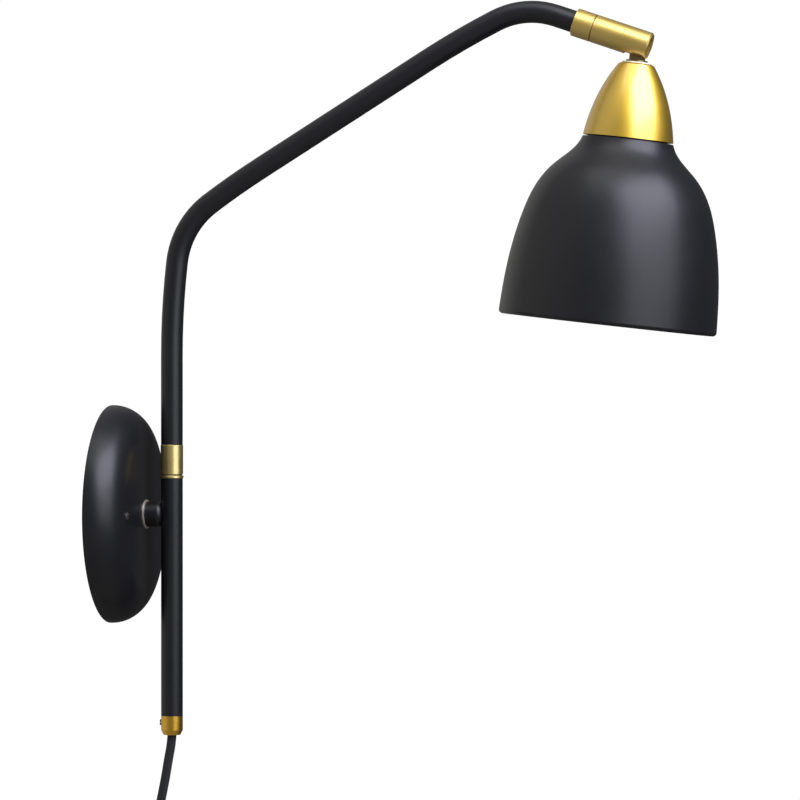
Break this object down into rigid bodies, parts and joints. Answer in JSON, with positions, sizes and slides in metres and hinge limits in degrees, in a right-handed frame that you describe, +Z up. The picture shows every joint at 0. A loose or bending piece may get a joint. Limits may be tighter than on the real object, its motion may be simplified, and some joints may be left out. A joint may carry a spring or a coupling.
{
  "type": "wall sconce",
  "caption": "Plug-in wall sconce: a bell shade with a brass cone hangs from a bent tube arm that swings, turns and tilts on brass joints.",
  "frame": {"origin": "centre of the wall bracket's two screw holes, on the wall's surface", "axes": "+Z up; +Y into the wall; the arm reaches out from the wall along -Y in the plane X = 0; X left to right along the wall"},
  "size_m": [0.135, 0.3783, 0.7534],
  "materials": {
    "black_coat": "matt black powder coat, slightly blue-grey",
    "satin_brass": "satin brass with fine turned brushing",
    "contact_brass": "plain pressed brass",
    "plated_steel": "bright zinc plate",
    "black_steel": "blackened steel, semi-gloss",
    "white_plastic": "white moulding",
    "black_plastic": "fine satin moulding",
    "black_rubber": "soft matt",
    "pin_metal": "nickel plate",
    "black_braid": "braided textile over round flex",
    "lead_sleeve": "plain insulation",
    "bulb_cap_metal": "pressed screw cap",
    "opal_glass": "opal white"
  },
  "bodies": {
    "wall_mount": {"wall_bracket": "plated_steel", "canopy": "black_coat", "canopy_screws": "black_steel", "stub_washer": "plated_steel", "stub": "black_coat", "stub_bolt": "plated_steel", "lock_washer": "plated_steel", "stub_nut": "plated_steel", "stem_tube": "black_coat", "end_cap": "satin_brass", "cord_grip_screw": "black_steel", "stem_flex": "black_braid", "swivel_base": "satin_brass", "swivel_washer": "plated_steel", "cord_upper": "black_braid", "switch_base": "black_plastic", "switch_cover": "black_plastic", "switch_flex": "black_braid", "cord_lower": "black_braid", "cord_coil": "black_braid", "cord_tie": "black_plastic", "cord_tail": "black_braid", "plug_relief": "black_rubber", "plug_body": "black_plastic", "plug_pins": "pin_metal"},
    "arm": {"swivel_sleeve": "satin_brass", "swivel_spring_washer": "plated_steel", "swivel_nut": "plated_steel", "arm_tube": "black_coat", "arm_flex": "black_braid", "collar": "satin_brass", "barrel_washer": "black_steel", "barrel_bolt": "plated_steel", "arm_leads": "lead_sleeve"},
    "barrel": {"barrel": "satin_brass", "hinge_screw": "plated_steel"},
    "lamp_head": {"knuckle": "satin_brass", "hinge_washers": "plated_steel", "head_washer": "white_plastic", "head_leads": "lead_sleeve", "cone": "satin_brass", "holder_cap": "black_plastic", "holder_body": "black_plastic", "contact_block": "white_plastic", "centre_contact": "contact_brass", "screw_shell": "contact_brass", "shade_ring": "black_plastic", "shade": "black_coat", "bulb_cap": "bulb_cap_metal", "bulb_glass": "opal_glass"},
    "rocker": {"switch_rocker": "black_plastic"}
  },
  "joints": [
    {"name": "arm_swing", "type": "hinge", "parent": "wall_mount", "child": "arm", "pos_m": [0, -0.0382, 0.024], "axis": [0, 0, 1], "range_deg": [-80, 80]},
    {"name": "barrel_turn", "type": "hinge", "parent": "arm", "child": "barrel", "pos_m": [0, -0.30282, 0.296], "axis": [0, -0.9455, -0.3256], "range_deg": [-170, 170]},
    {"name": "head_tilt", "type": "hinge", "parent": "barrel", "child": "lamp_head", "pos_m": [0, -0.33024, 0.28656], "axis": [1, 0, 0], "range_deg": [-77, 24]},
    {"name": "rocker_tilt", "type": "hinge", "parent": "wall_mount", "child": "rocker", "pos_m": [0, -0.02932, -0.21079], "axis": [1, 0, 0], "range_deg": [-16, 0]}
  ]
}
